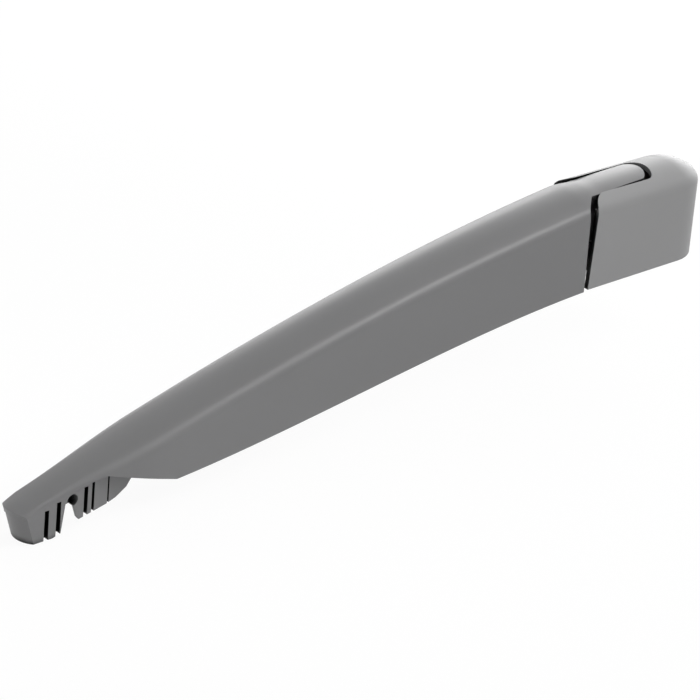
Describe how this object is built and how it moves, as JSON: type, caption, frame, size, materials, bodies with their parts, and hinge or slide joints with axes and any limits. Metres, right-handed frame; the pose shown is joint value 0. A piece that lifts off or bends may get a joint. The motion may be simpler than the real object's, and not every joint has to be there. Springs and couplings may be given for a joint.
{
  "type": "wiper_arm",
  "caption": "Moulded rear window wiper arm with spring-loaded hinge, flip-up head cover, splined spindle socket and snap-in blade clip",
  "frame": {"origin": "spindle axis at the lower face of the spindle bush", "axes": "+Z along the spindle away from the window, +X along the arm from the blade end to the spindle, +Y across the arm along the hinge pin"},
  "size_m": [0.3386, 0.028, 0.0766],
  "materials": {
    "arm_plastic": "satin moulded",
    "cover_plastic": "satin moulded",
    "head_cast": "as cast",
    "bush_brass": "turned",
    "pin_steel": "ground",
    "hinge_bush": "self-lubricating",
    "link_steel": "passivated",
    "spring_steel": "black coated"
  },
  "bodies": {
    "head": {"mounting_head": "head_cast", "spindle_bush": "bush_brass", "hinge_pin": "pin_steel", "link_pin": "pin_steel"},
    "arm": {"arm": "arm_plastic", "hinge_bush_near": "hinge_bush", "hinge_bush_far": "hinge_bush", "spring_anchor_pin": "pin_steel"},
    "cover": {"head_cover": "cover_plastic"},
    "link": {"spring_link": "link_steel"},
    "spring": {"tension_spring": "spring_steel"}
  },
  "joints": [
    {"name": "arm_lift", "type": "hinge", "parent": "head", "child": "arm", "pos_m": [-0.031, 0, 0.031], "axis": [0, 1, 0], "range_deg": [0, 45], "stiffness_Nm_per_rad": 0.8, "springref_deg": -28.65},
    {"name": "cover_flip", "type": "hinge", "parent": "head", "child": "cover", "pos_m": [-0.031, 0, 0.031], "axis": [0, -1, 0], "range_deg": [0, 85]},
    {"name": "link_swing", "type": "hinge", "parent": "head", "child": "link", "pos_m": [-0.0275, 0, 0.021], "axis": [0, 1, 0], "range_deg": [0, 43]},
    {"name": "spring_stretch", "type": "slide", "parent": "link", "child": "spring", "axis": [-0.9976, 0, -0.0695], "range_m": [0, 0.0075], "deforming": ["tension_spring"]}
  ],
  "couplings": [
    {"joint": "link_swing", "follows": "arm_lift", "ratio": 0.94},
    {"joint": "spring_stretch", "follows": "arm_lift", "m_per_rad": 0.0084}
  ]
}
